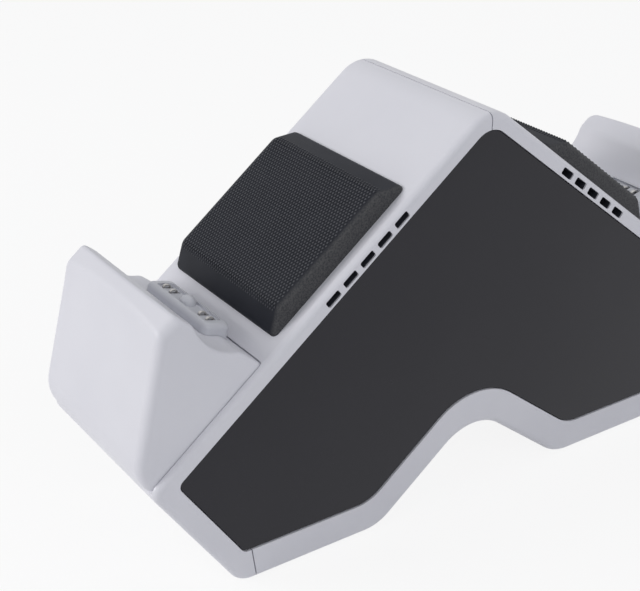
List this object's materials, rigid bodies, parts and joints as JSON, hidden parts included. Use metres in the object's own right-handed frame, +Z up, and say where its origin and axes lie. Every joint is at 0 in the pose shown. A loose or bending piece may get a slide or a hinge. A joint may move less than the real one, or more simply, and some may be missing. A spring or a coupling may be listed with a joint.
{
  "type": "controller charging dock",
  "caption": "Double-sided charging dock for game controllers: sloping seats back to back, wedge caps, contact heads, rubber back rests and gloss side panels on an arched base.",
  "frame": {"origin": "on the table, under the middle of the dock", "axes": "+X to the right across the dock's width, -Y to the front, +Z up"},
  "size_m": [0.044, 0.1576, 0.0867],
  "materials": {
    "white_shell": "satin moulded",
    "white_cap": "fine matt moulded",
    "black_panel": "polished",
    "grey_head": "satin moulded",
    "contact_metal": "nickel plated",
    "circuit_board": "lacquered",
    "pad_rubber": "matt with fine dots",
    "ballast_steel": "zinc plated",
    "lead_sheath": "matt",
    "socket_steel": "plated",
    "foot_rubber": "matt",
    "screw_steel": "zinc plated"
  },
  "bodies": {
    "root": {"front_shell": "white_shell", "rear_shell": "white_shell", "base": "white_shell", "left_panel": "black_panel", "right_panel": "black_panel", "front_cap": "white_cap", "rear_cap": "white_cap", "front_head": "grey_head", "rear_head": "grey_head", "front_contacts": "contact_metal", "rear_contacts": "contact_metal", "front_head_board": "circuit_board", "rear_head_board": "circuit_board", "front_pad": "pad_rubber", "rear_pad": "pad_rubber", "front_ballast": "ballast_steel", "rear_ballast": "ballast_steel", "front_lead": "lead_sheath", "rear_lead": "lead_sheath", "main_board": "circuit_board", "power_inlet": "socket_steel", "front_left_foot": "foot_rubber", "front_right_foot": "foot_rubber", "rear_left_foot": "foot_rubber", "rear_right_foot": "foot_rubber", "base_screws": "screw_steel", "cap_screws": "screw_steel", "head_screws": "screw_steel", "ridge_screws": "screw_steel", "board_screws": "screw_steel"}
  },
  "joints": []
}
